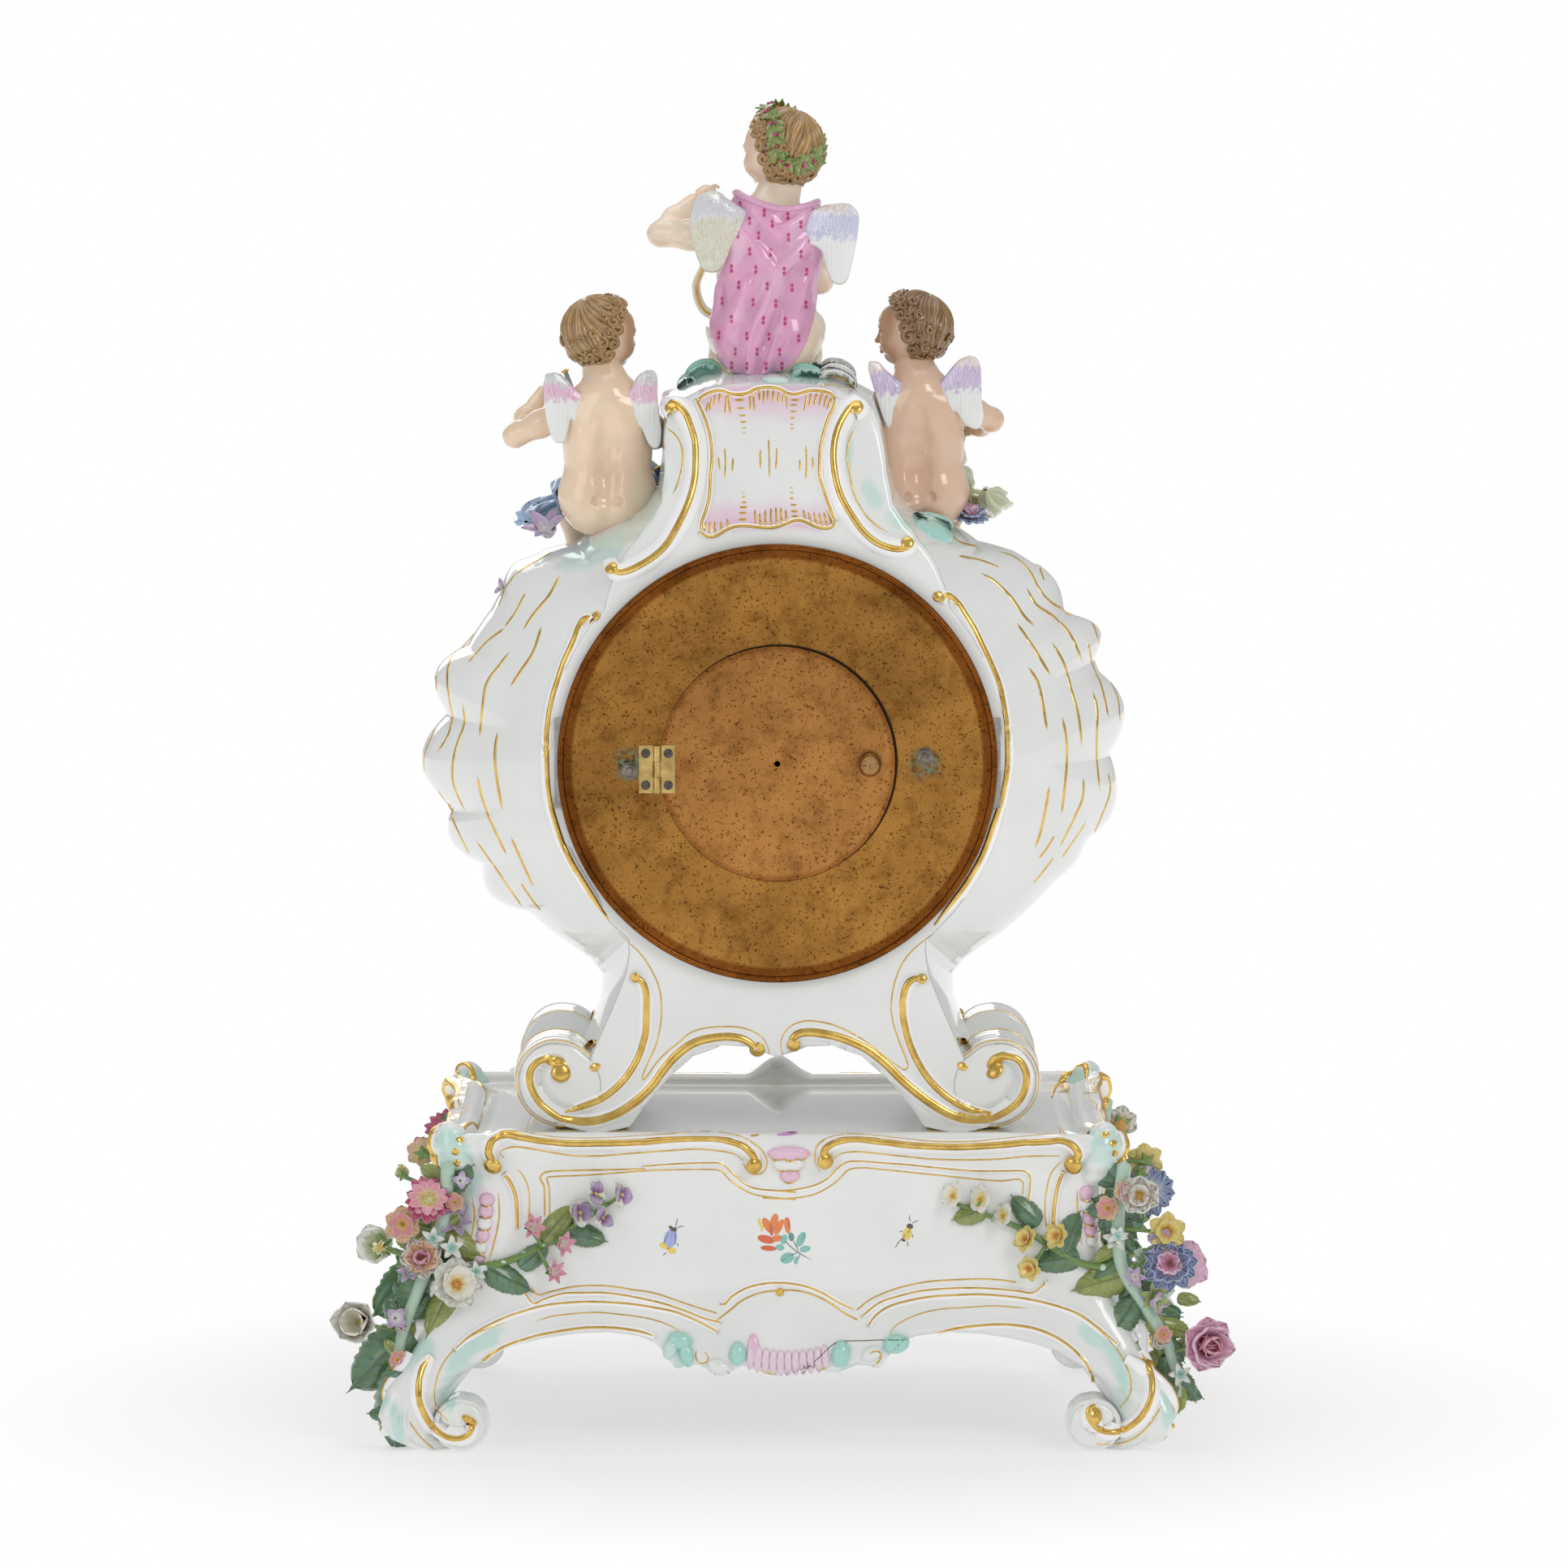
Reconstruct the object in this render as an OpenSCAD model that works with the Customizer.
/* [Stand] */
// Height of the stand from the floor to its rim
stand_h = 147; // [120:1:180]
// Half width of the stand at the middle of its sides
stand_half_w = 148; // [130:1:170]
// Half depth of the stand at the middle of its long faces
stand_half_d = 110; // [95:1:130]
// How far the foot corners flare out past the sides
foot_flare = 47; // [30:1:60]
// Thickness of the stand's porcelain wall
stand_wall = 8; // [6:0.5:10]
// Depth of the top's floor below the rim
floor_drop = 5; // [3:0.5:8]
// Height of the crest on the front rim
crest_h = 9; // [5:0.5:14]

/* [Case] */
// Height of the dial centre above the floor
face_z = 316; // [305:0.5:330]
// Half width of the case over its shell flutes
case_half_w = 157; // [148:1:165]
// Half depth of the case at its round openings
case_half_d = 75; // [70:0.5:80]
// Half depth of the neck at the crown
crown_half_d = 47; // [40:1:55]
// Thickness of the case's porcelain wall
case_wall = 7; // [5:0.5:9]
// Radius of the front opening
front_open_r = 74; // [73.8:0.2:75]
// Radius of the rear opening
rear_open_r = 96; // [92:0.5:98]
// Radius of the rolled scroll feet
volute_r = 19; // [15:0.5:22]
// Thickness of the putty under the feet
putty_t = 1; // [0.6:0.1:2]

/* [Figures] */
// Seated height of the crowning figure
top_putto_h = 125; // [110:1:135]
// Seated height of the side figures
side_putto_h = 110; // [95:1:118]
// Thickness of the wings
wing_t = 3; // [2:0.25:5]

/* [Flowers] */
// Radius of the largest bloom
bloom_r = 17; // [12:0.5:20]
// Radius of the branch under the flowers
branch_r = 10; // [7:0.5:12]

/* [Rear plate] */
// Radius of the brass rear plate
plate_r = 102.6; // [100:0.2:106]
// Thickness of the rear plate
plate_t = 2; // [1.8:0.1:2.6]
// Radius of the rear door
door_r = 54.8; // [52:0.2:56]
// Thickness of the rear door
door_t = 1.3; // [1:0.1:1.5]
// Distance of the door's hinge pin from the plate's centre
hinge_x = 56.1; // [55.8:0.1:58]
// Height of the rear hinge
hinge_h = 22.3; // [16:0.1:26]
// Distance of the tie studs from the centre
tie_x = 68.9; // [68:0.1:69.2]
// Radius of the tie studs
tie_r = 1.8; // [1.5:0.1:2]
// Radius of the door's knob
knob_r = 5.5; // [4:0.1:7]

/* [Dial and bezel] */
// Outer radius of the bezel and of the dial frame
bezel_r = 80; // [79:0.2:84]
// Inner radius of the bezel
sight_r = 66; // [62:0.2:68]
// Radius of the dial
dial_r = 70.5; // [69:0.1:71]
// Length of the minute hand
minute_len = 56; // [45:0.5:60]
// Length of the hour hand
hour_len = 38; // [30:0.5:42]

/* [Movement] */
// Radius of the movement's plates
mplate_r = 44; // [43:0.2:48]
// Thickness of the movement's plates
mplate_t = 2; // [1.6:0.1:2.4]
// Space between the movement's plates
mplate_gap = 38; // [37:0.2:42]
// Radius of the barrels
barrel_r = 17; // [15:0.1:17.4]
// Radius of the bell
bell_r = 35; // [30:0.5:38]
// Length of the pendulum from its stud to the middle of the bob
pendulum_len = 100; // [80:1:110]
// Radius of the pendulum's bob
bob_r = 15; // [12:0.5:18]

/* [Hidden] */

// Overrun of every cut
cut = 1;
// Gap between seated pieces that are curved
seat_gap = 0.3;
// Radial clearance of pivots and pipes
run_gap = 0.06;
// Number of sides of the exact round parts
round_fn = 48;
// Number of sides of the balls in limbs
ball_fn = 8;
// Number of sides of the balls in small trim
trim_fn = 5;

// Stand
stand_floor_z = stand_h - floor_drop;
// Power of the stand's rounded rectangle
plan_power = 12;
// Degrees of the points round a quarter of the stand, closer near the corner
quarter_angles = [each [0:5:25], each [29:2:33], each [34.2:0.8:39.2], each [41:2:45], each [50:7:85]];
// Share of the flare that goes to the depth
flare_depth_share = 0.7;
// Width of the raised rim
rim_w = 12;
// Outward offset of the wall, as shares of the flare, against shares of the height
mid_shares = [[0, 0.16], [0.25, 0.19], [0.36, 0.08], [0.5, 0], [0.88, 0], [0.95, 0.09], [1, 0.07]];
corner_shares = [
  [0, 0.6], [0.04, 0.86], [0.12, 1], [0.2, 0.9], [0.32, 0.6], [0.46, 0.32], [0.62, 0.16], [0.78, 0.14],
  [0.88, 0.22], [0.95, 0.4], [1, 0.36]
];
// Height of the lower edge as shares of the height, against shares of the way from a side's middle to its
// corner
arch_shares = [
  [0, 0.24], [0.16, 0.25], [0.24, 0.31], [0.32, 0.335], [0.45, 0.375], [0.62, 0.39], [0.75, 0.37],
    [0.83, 0.335],
  [0.89, 0.3], [0.93, 0.25], [0.95, 0.15], [0.96, 0.0], [1.1, 0.0]
];
// Levels of the wall's rings as shares of the way from the lower edge to the rim
wall_levels = [1, 0.95, 0.86, 0.7, 0.52, 0.38, 0.25, 0.12, 0.04, 0];
// Levels of the inner rings
inner_levels = [0, 0.5, 1];
// Degrees of the plan over which the crest falls away
crest_span = 9;
// Thickness of a leaf
leaf_t = 2;
// Share of the side at which the corner begins
corner_from_share = 0.66;
// Radius of the scroll at the end of each foot
scroll_r = 13;
// Place of the foot scroll from the corner of the plan
scroll_x = stand_half_w - 1;
scroll_y = stand_half_d + 14;

// Case
foot_z = stand_floor_z + putty_t;
// Width of the plain ring round the rear plate
ring_w = 5.5;
face_r = plate_r + ring_w;
// Sideways lean of the neck
neck_lean = 5;
// Radius of the outline about the dial centre, as shares of the half width, against degrees above level
outline_shares = [
  [-90, 0.905], [-84, 0.878], [-79, 0.886], [-74, 0.938], [-71, 1.02], [-69, 1.12], [-68, 1.2], [-64, 1.26],
  [-59, 1.29], [-57.5, 1.15], [-56, 1.02], [-54.5, 0.92], [-52, 0.862], [-48, 0.85], [-43, 0.862],
    [-36, 0.888],
  [-28, 0.92], [-20, 0.96], [-12, 1], [0, 1.005], [10, 1.005], [18, 0.99], [26, 0.962], [35, 0.96],
    [40, 0.93],
  [46, 0.872], [52, 0.862], [58, 0.842], [62, 0.85], [66, 0.88], [69, 0.95], [72, 1.06], [74, 1.12],
    [80, 1.15],
  [90, 1.15]
];
// Middles, half widths and heights of the shell's flutes on each side, in degrees and shares of the half
// width
left_flute_shares = [[34, 4.5, 0.014], [12.5, 6, 0.058], [-2, 8, 0.072], [-16, 5.5, 0.045], [-27, 6, 0.05]];
right_flute_shares = [[31, 5, 0.02], [20.5, 4.5, 0.055], [6.5, 7, 0.05], [-8.5, 7.5, 0.035], [-21, 4, 0.01]];
// How closely the flat faces follow the outline, against degrees above level
follow_shares = [[-90, 1], [-60, 1], [-50, 0], [42, 0], [60, 0.85], [70, 1], [90, 1]];
// Stations through the case's depth, as shares of the half depth
side_stations = [-0.93, -0.7, -0.35, 0, 0.35, 0.7, 0.93];
inner_stations = [0.82, 0.4, -0.4, -0.82];
// Power of the case's bulge
bulge_power = 2.1;
// Rounding of the face's edge
edge_round = 4;
// Largest radius of the hollow inside, and how much smaller it is at the faces
hollow_share = 0.84;
hollow_r = hollow_share * case_half_w;
hollow_taper = 17;
// Place of the scroll feet
volute_x = 103;
volute_z = foot_z + 1.42 * volute_r;
// Length of each scroll foot along the depth
volute_len = 38;
// Half length and half width of the putty
putty_half_x = 17;
putty_half_y = 21;
// Middle of each foot
foot_x = 87;
foot_y = case_half_d - putty_half_y - 2;
crown_z = face_z + 1.15 * case_half_w;

// Figures: the crowning one's shins hang before the crown's front, the side ones sit on the shoulders
crown_front_share = 0.77;
crown_front_y = case_half_d - crown_front_share * (case_half_d - crown_half_d);
shin_y_share = 0.46;
top_seat = [neck_lean, shin_y_share * top_putto_h - crown_front_y, crown_z + 1];
side_seat_y = 0.107 * case_half_d;
left_seat = [0.51 * case_half_w, side_seat_y, face_z + 0.688 * case_half_w];
right_seat = [-0.427 * case_half_w, side_seat_y, face_z + 0.7 * case_half_w];

// Places are shares [x, y, z] of the stand's half width, half depth and height, with size, spin and tilt:
// first the blooms, then the leaves, then the branch with its radius as a share
bloom_shares = [
  [1.1, 0.99, 0.8, 0.75, 0, 60], [1.18, 0.93, 0.7, 0.6, 0, 70], [1.14, 1.09, 0.56, 0.85, 60, 60],
  [1.25, 1.0, 0.54, 0.7, 20, 70], [1.345, 0.98, 0.36, 1, 0, 60], [1.25, 1.13, 0.33, 0.6, 50, 60],
  [0.72, 1.06, 0.72, 0.42, 90, 80], [0.62, 1.06, 0.8, 0.42, 90, 80], [0.52, 1.06, 0.86, 0.38, 90, 80]
];
leaf_shares = [
  [1.14, 1.06, 0.42, 0.8, 60, 10], [1.27, 1.04, 0.24, 0.9, 30, 70], [1.22, 1.08, 0.48, 0.7, 80, 40],
  [1.28, 1.02, 0.2, 0.7, -20, 75], [0.82, 1.07, 0.62, 0.9, 180, -20], [1.08, 0.98, 0.68, 0.7, -30, 10]
];
branch_shares = [
  [1.06, 1.0, 0.84, 0.6], [1.1, 1.02, 0.68, 1], [1.17, 1.04, 0.5, 1.1], [1.26, 1.04, 0.33, 1.1],
    [1.28, 1.06, 0.14, 0.6]
];
spray_shares = [[1.14, 1.06, 0.52, 0.6], [0.98, 1.08, 0.56, 0.4], [0.78, 1.05, 0.66, 0.25],
  [0.5, 1.05, 0.84, 0.2]];

// Figures, as chains of points [x, y, z, radius] in shares of the seated height, with the face to the front
// The body is two such chains side by side
body_shares = [[0.055, 0.05, 0.1, 0.12], [0.045, 0.06, 0.25, 0.11], [0.055, 0.04, 0.41, 0.12],
  [0, 0.03, 0.53, 0.05]];
neck_share = [0, 0.02, 0.52, 0.05];
hip_shares = [[-0.09, 0.04, 0.09, 0.115], [0.09, 0.04, 0.09, 0.115]];
shoulder_shares = [[-0.13, 0.04, 0.49, 0.055], [0.13, 0.04, 0.49, 0.055]];
right_leg_shares = [[-0.1, 0, 0.09, 0.085], [-0.15, -0.36, 0.13, 0.068], [-0.12, -0.42, -0.16, 0.045],
  [-0.12, -0.52, -0.21, 0.035]];
left_leg_shares = [[0.1, 0, 0.09, 0.085], [0.16, -0.37, 0.12, 0.068], [0.14, -0.43, -0.18, 0.045],
  [0.14, -0.53, -0.23, 0.035]];
top_left_arm_shares = [[0.15, 0.04, 0.49, 0.05], [0.4, -0.06, 0.5, 0.042], [0.29, -0.2, 0.69, 0.032]];
top_right_arm_shares = [[-0.15, 0.04, 0.49, 0.05], [-0.2, -0.12, 0.32, 0.042], [0.0, -0.3, 0.42, 0.032]];
top_head_shares = [-0.055, 0, 0.83, 0.15];
left_left_arm_shares = [[0.15, 0.04, 0.49, 0.05], [0.4, -0.04, 0.37, 0.042], [0.28, -0.24, 0.56, 0.032]];
left_right_arm_shares = [[-0.15, 0.04, 0.49, 0.05], [-0.2, -0.14, 0.36, 0.042], [0.04, -0.3, 0.5, 0.032]];
left_head_shares = [0.03, 0, 0.82, 0.155];
right_left_arm_shares = [[0.12, 0, 0.48, 0.05], [0.13, -0.16, 0.36, 0.042], [0.06, -0.34, 0.42, 0.032]];
right_right_arm_shares = [[-0.15, 0.04, 0.49, 0.05], [-0.31, -0.06, 0.42, 0.042], [-0.2, -0.3, 0.36, 0.032]];
right_head_shares = [0.03, 0, 0.82, 0.155];
// Feathers of one wing as chains in shares of its length, standing in the plane across the depth
wing_shares = [
  [[-0.16, -0.2, -0.1], [0, 0, 0.05]], [[0, 0, 0.05], [0.2, 0.02, 0.36]],
    [[0.2, 0.02, 0.36], [0.42, 0.03, 0.4]], [[0.42, 0.03, 0.4], [0.5, 0.04, 0.1]],
  [[0.14, 0.02, 0.2], [0.46, 0.05, -0.34]], [[0.3, 0.02, 0.2], [0.52, 0.05, -0.42]]
];
wing_len_share = 0.34;
wing_root_shares = [0.11, 0.13, 0.49];
// Thickness of the cloak and how far it reaches to the front
cloak_t = 2.5;
cloak_front_share = 0.03;
// Berries and leaves of the wreath: radius, number and tilt
wreath_r = 2.2;
wreath_n = 10;
wreath_tilt = 38;
// Lyre: two arms, a bar and a foot, in shares of the figure's size
lyre_arm_shares = [[0.0, 0, 0, 0.02], [0.1, 0, 0.08, 0.022], [0.12, 0, 0.2, 0.02], [0.07, 0, 0.3, 0.018],
  [0.11, 0, 0.38, 0.022]];
lyre_place = [0.14, -0.32, 0.14];
// Drapes round the hips of the side figures
drape_shares = [
  [0.2, 0.1, 0.0, 0.05], [0.3, -0.05, 0.02, 0.06], [0.28, -0.22, 0.02, 0.06], [0.16, -0.36, -0.02, 0.05],
  [0.0, -0.34, 0.04, 0.045], [-0.14, -0.26, 0.02, 0.04], [-0.24, -0.1, 0, 0.04], [-0.22, 0.06, 0.0, 0.04],
  [-0.16, 0.14, -0.02, 0.035]
];
// The horn that the left figure holds, and the drum of the right one
horn_shares = [
  [0.2, -0.27, 0.66, 0.018], [0.15, -0.29, 0.56, 0.02], [0.06, -0.31, 0.46, 0.024],
    [-0.04, -0.31, 0.36, 0.03],
  [-0.12, -0.3, 0.28, 0.036], [-0.19, -0.28, 0.22, 0.044], [-0.25, -0.26, 0.18, 0.054],
    [-0.3, -0.25, 0.16, 0.066],
  [-0.31, -0.25, 0.155, 0.07]
];
drum_r_share = 0.12;
drum_h_share = 0.16;
drum_place_shares = [-0.1, -0.4, 0.32];

// Rear plate, counted back from the case's rear face
clamp_t = 2;
clamp_y = case_half_d + seat_gap;
plate_y = clamp_y + clamp_t;
plate_back = plate_y + plate_t;
// Height of the clamp plates
clamp_h = 42;
// Inner end of the clamp plates from the centre
clamp_in = 58;
clamp_out = plate_r + 1.4;
// Radius of the opening behind the door
door_open_r = door_r - 4;
door_gap = 0.4;
// Slant of the tie studs
tie_slant = 2.8;
// Radius of the roll round the plate's edge
roll_r = 1.5;
knuckle_r = 1.7;
hinge_leaf_t = 0.8;
sunk_gap = 0.1;
hinge_y = plate_back + knuckle_r + sunk_gap;
hinge_z = face_z - 2.5;
hinge_leaf_w = 6.3;
hinge_pin_r = 0.6;
knuckle_gap = 0.15;
// Distance of the leaves' edges from the pin
leaf_reach = knuckle_r + 0.4;
hinge_screw_z = hinge_h / 3;
screw_r = 2.2;
screw_t = 0.5;
slot_w = 0.6;
nut_r = 3.7;
nut_h = 3.2;
washer_r = 4.2;
washer_t = 0.9;
knob_x = -43;
knob_h = 9;
peep_r = 1.4;

// Dial and bezel, counted forward from the case's front face
frame_t = 2;
frame_y = -case_half_d - seat_gap;
frame_front = frame_y - frame_t;
tube_r = front_open_r - 0.6;
tube_in_r = dial_r + 0.8;
web_y = frame_y + 11;
web_hole_r = 30;
dial_t = 2;
// Place of the dial's feet as a share of the posts' distance
dial_foot_share = 1.3;
dial_foot_h = 4;
dial_y = web_y - frame_t - dial_foot_h - dial_t;
bezel_back = frame_front - seat_gap;
bezel_t = 7;
glass_t = 2;
glass_r = sight_r + 3;
glass_rise = 6;
bezel_pin_x = -bezel_r - 2.4;
bezel_pin_y = frame_front - seat_gap / 2;
bezel_knuckle_r = 1.6;
bezel_knuckle_h = 7;
// Thickness of the bezel's lugs and their length as a share of the radius
lug_t = 1.4;
lug_share = 0.055;
winding_hole_r = 4;
minute_t = 0.8;
hour_t = 0.8;
// Rest places of the hands, in degrees past twelve
hour_angle = 305;
minute_angle = 60;

// Movement, counted back from the dial frame's web
post_h = 4;
post_r = 3;
fplate_y = web_y + post_h;
gap_y = fplate_y + mplate_t;
bplate_y = gap_y + mplate_gap;
back_y = bplate_y + mplate_t;
arbor_r = 1;
pivot_r = 0.7;
// Radius of the finer arbors
fine_r = 0.8;
barrel_x = 21;
barrel_z = -14;
barrel_h = 18;
great_t = 1.6;
winding_r = 2.2;
// Side of the winding square as a share of the arbor's radius
winding_square_share = 1.35;
winding_front_y = dial_y - 1;
pillar_r = 2.5;
pillar_places = [[14, -39], [-14, -39], [27, 30], [-27, 30]];
post_places = [[38, 0], [-38, 0], [0, -36.5]];
wheel_t = 1.2;
// Modules of the wheels
great_m = 0.44;
second_m = 0.42;
centre_m = 0.32;
motion_m = 0.5;
// Numbers of teeth
great_n = 80;
second_pinion_n = 10;
second_n = 60;
centre_pinion_n = 10;
centre_n = 84;
third_pinion_n = 7;
third_n = 78;
escape_pinion_n = 7;
escape_n = 42;
cannon_n = 12;
minute_n = 36;
minute_pinion_n = 10;
hour_n = 40;
hour_m = motion_m * (cannon_n + minute_n) / (minute_pinion_n + hour_n);
// Extra distance between meshed wheels
mesh_gap = 0.12;
second_reach = great_m * (great_n + second_pinion_n) / 2 + mesh_gap;
centre_reach = second_m * (second_n + centre_pinion_n) / 2 + mesh_gap;
barrel_reach = sqrt(barrel_x * barrel_x + barrel_z * barrel_z);
along = (second_reach * second_reach - centre_reach * centre_reach + barrel_reach * barrel_reach)
  / (2 * barrel_reach);
aside = sqrt(second_reach * second_reach - along * along);
second_x = barrel_x - along * barrel_x / barrel_reach - aside * barrel_z / barrel_reach;
second_z = barrel_z - along * barrel_z / barrel_reach + aside * barrel_x / barrel_reach;
third_z = centre_m * (centre_n + third_pinion_n) / 2 + mesh_gap;
escape_z = third_z + centre_m * (third_n + escape_pinion_n) / 2 + mesh_gap;
escape_r = 7.6;
// Root of the escape teeth as a share of the radius, and the degrees that they lean
escape_root_share = 0.86;
escape_lean = 4;
pallet_z = escape_z + 10.4;
motion_reach = motion_m * (cannon_n + minute_n) / 2 + mesh_gap;
motion_angle = -45;
motion_x = motion_reach * cos(motion_angle);
motion_z = motion_reach * sin(motion_angle);
great_y = gap_y + 2.5;
centre_wheel_y = great_y + great_t + barrel_h + 1;
strike_wheel_y = centre_wheel_y + 3.7;
second_wheel_y = strike_wheel_y + 4.5;
third_wheel_y = gap_y + 14;
escape_wheel_y = gap_y + 22;
// Overhang of each pinion past the wheel that drives it
pinion_over = 1;
// Distance of the arbors' shoulders from the plates
shoulder_gap = 0.5;
end_gap = 0.2;
cannon_r = 2.2;
hour_pipe_r = 3.1;
cannon_y = fplate_y - 3.5;
minute_wheel_y = fplate_y - 2.4;
hour_wheel_y = fplate_y - 5.6;
hand_nut_t = 1;
hour_hand_y = dial_y - 2.2;
minute_hand_y = hour_hand_y - 2;
hand_nut_y = minute_hand_y - hand_nut_t;
cock_y = back_y + 10;
cock_t = 2;
cock_boss_t = 1;
stud_r = 1.2;
stud_len = 6;
crutch_y = back_y + 4;
crutch_len = 24;
rod_y = cock_y + cock_t + 3;
rod_r = 1;
bob_t = 7;
fork_gap = 0.35;
hammer_x = -36;
hammer_z = 14;
hammer_r = 3.4;
hammer_h = 6;
// Space between the back plate and the hammer's arm
hammer_gap = 2;
bell_z = 12;
bell_y = back_y + 21;
bell_deep = 20;
bell_t = 1.8;
// Place of the hammer's head about the bell's middle
hammer_reach = bell_r + hammer_r + 1;
hammer_angle = 150;
bell_post_x = 20;
bell_post_z = -34;
bell_post_r = 2.4;
// Outline of the bell's wall as shares of its radius and depth
bell_wall_shares = [[1, 0], [0.97, 0.25], [0.9, 0.5], [0.75, 0.76], [0.5, 0.93], [0.25, 0.99]];

// A ball with few sides
module ball(r, sides = ball_fn) {
  sphere(r = r, $fn = sides);
}

// A tapering limb between two balls
module limb(p, r, q, s, grow = 0, sides = ball_fn) {
  hull() {
    translate(p) ball(r + grow, sides);
    translate(q) ball(s + grow, sides);
  }
}

// A chain of limbs through points [x, y, z, radius], each a share of the size
module chain(points, size, grow = 0, sides = ball_fn) {
  for (i = [0:len(points) - 2]) {
    a = points[i];
    b = points[i + 1];
    limb([a[0], a[1], a[2]] * size, a[3] * size, [b[0], b[1], b[2]] * size, b[3] * size, grow, sides);
  }
}

// A rod along the depth
module rod(x, z, y0, y1, r, sides = round_fn) {
  translate([x, y0, face_z + z]) rotate([-90, 0, 0]) cylinder(h = y1 - y0, r = r, $fn = sides);
}

// A tube along the depth
module pipe(x, z, y0, y1, r, bore) {
  difference() {
    rod(x, z, y0, y1, r);
    rod(x, z, y0 - cut, y1 + cut, bore);
  }
}

// Two triangles for each cell between rings of points, and round to the first ring again where closed is 1
function band_faces(rings, points, closed, first = 0) = [
  for (i = [0:rings - 2 + closed]) for (j = [0:points - 1])
    let (a = first + i * points + j, b = first + i * points + (j + 1) % points,
      c = first + ((i + 1) % rings) * points + j, d = first + ((i + 1) % rings) * points + (j + 1) % points)
    each [[a, b, d], [a, d, c]]
];

// A solid through a first point, rings of n points and a last point
module ringed_solid(start, rings, end, n) {
  last = len(rings) + 1;
  polyhedron(
    points = concat([start], rings, [end]),
    faces = concat(
      [for (j = [0:n - 1]) [0, 1 + (j + 1) % n, 1 + j]],
      band_faces(len(rings) / n, n, 0, 1),
      [for (j = [0:n - 1]) [last, last - n + j, last - n + (j + 1) % n]]),
    convexity = 10);
}

// Stand

function plan_r(a, ox, oy) =
  1 / pow(pow(abs(cos(a)) / (stand_half_w + ox), plan_power) + pow(abs(sin(a)) / (stand_half_d + oy),
    plan_power),
    1 / plan_power);

// Share of the way from a side's middle to its corner
function side_share(a) =
  let (u = abs(cos(a)) / stand_half_w, v = abs(sin(a)) / stand_half_d) min(u, v) / max(u, v);

function soften(t) = let (s = max(0, min(1, t))) s * s * (3 - 2 * s);

function corner_share(a) = soften((side_share(a) - corner_from_share) / (1 - corner_from_share));

function edge_z(a) = stand_h * lookup(side_share(a), arch_shares);

// A point of the wall at direction a and height z, moved out by more
function wall_point(a, z, more) =
  let (k = corner_share(a), t = z / stand_h,
    o = foot_flare * (lookup(t, mid_shares) * (1 - k) + lookup(t, corner_shares) * k),
    r = plan_r(a, o + more, o * flare_depth_share + more))
  [r * cos(a), r * sin(a), z];

function inner_point(a, z) =
  let (r = plan_r(a, -stand_wall, -stand_wall)) [r * cos(a), r * sin(a), z];

// Rise of the front rim's crest at direction a
function crest_rise(a) = crest_h * soften(1 - abs(a - 270) / crest_span);

last_quarter = len(quarter_angles) - 1;
plan_angles = [
  for (half = [0, 180])
    each [
      for (a = quarter_angles) half + a, half + 90, for (i = [0:last_quarter - 1])
        half + 180 - quarter_angles[last_quarter - i]
    ]
];
plan_n = len(plan_angles);

function outer_rings(grow) = [
  for (f = wall_levels) for (a = plan_angles)
    wall_point(a, edge_z(a) - grow + (stand_h + 2 * grow - edge_z(a)) * f, grow)
];

// The stand as one solid lump, grown all round, for cutting what is applied to it
module stand_form(grow) {
  ringed_solid([0, 0, stand_h + grow], outer_rings(grow), [0, 0, stand_h / 3], plan_n);
}

// The hollow stand with its sunk floor and raised rim
module stand_body() {
  under_z = stand_floor_z - stand_wall;
  floor_ring = [for (a = plan_angles) let (p = wall_point(a, stand_h, -rim_w)) [p[0], p[1], stand_floor_z]];
  rim_ring = [
    for (a = plan_angles) let (p = wall_point(a, stand_h, -rim_w / 2)) [p[0], p[1], stand_h + crest_rise(a)]
  ];
  inner = [
    for (f = inner_levels) for (a = plan_angles)
      let (z = edge_z(a) + (under_z - edge_z(a)) * f) inner_point(a, z)
  ];
  ringed_solid([0, 0, stand_floor_z], concat(floor_ring, rim_ring, outer_rings(0), inner), [0, 0, under_z],
    plan_n);
}

// The rolled end of one foot
module foot_scroll(grow) {
  limb([scroll_x, scroll_y, scroll_r], scroll_r, [scroll_x + scroll_r / 2, scroll_y - 2 * scroll_r, scroll_r],
    scroll_r, grow, ball_fn);
  limb([scroll_x, scroll_y, scroll_r], scroll_r,
    [scroll_x + 1.8 * scroll_r, scroll_y - scroll_r / 2, scroll_r],
    scroll_r, grow, ball_fn);
}

module foot_scrolls(grow) {
  for (mx = [0, 1]) for (my = [0, 1]) mirror([mx, 0, 0]) mirror([0, my, 0]) foot_scroll(grow);
}

module stand() color("whitesmoke") {
  difference() {
    union() {
      stand_body();
      foot_scrolls(0);
    }
    translate([0, 0, -stand_h / 2]) cube([4 * stand_half_w, 4 * stand_half_d, stand_h], center = true);
  }
}

// Putty beds under the case's feet
module foot_putty() color("khaki") {
  for (sx = [-1, 1]) for (sy = [-1, 1])
    translate([sx * foot_x - putty_half_x, sy * foot_y - putty_half_y, stand_floor_z])
      cube([2 * putty_half_x, 2 * putty_half_y, putty_t]);
}

// Flowers

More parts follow.
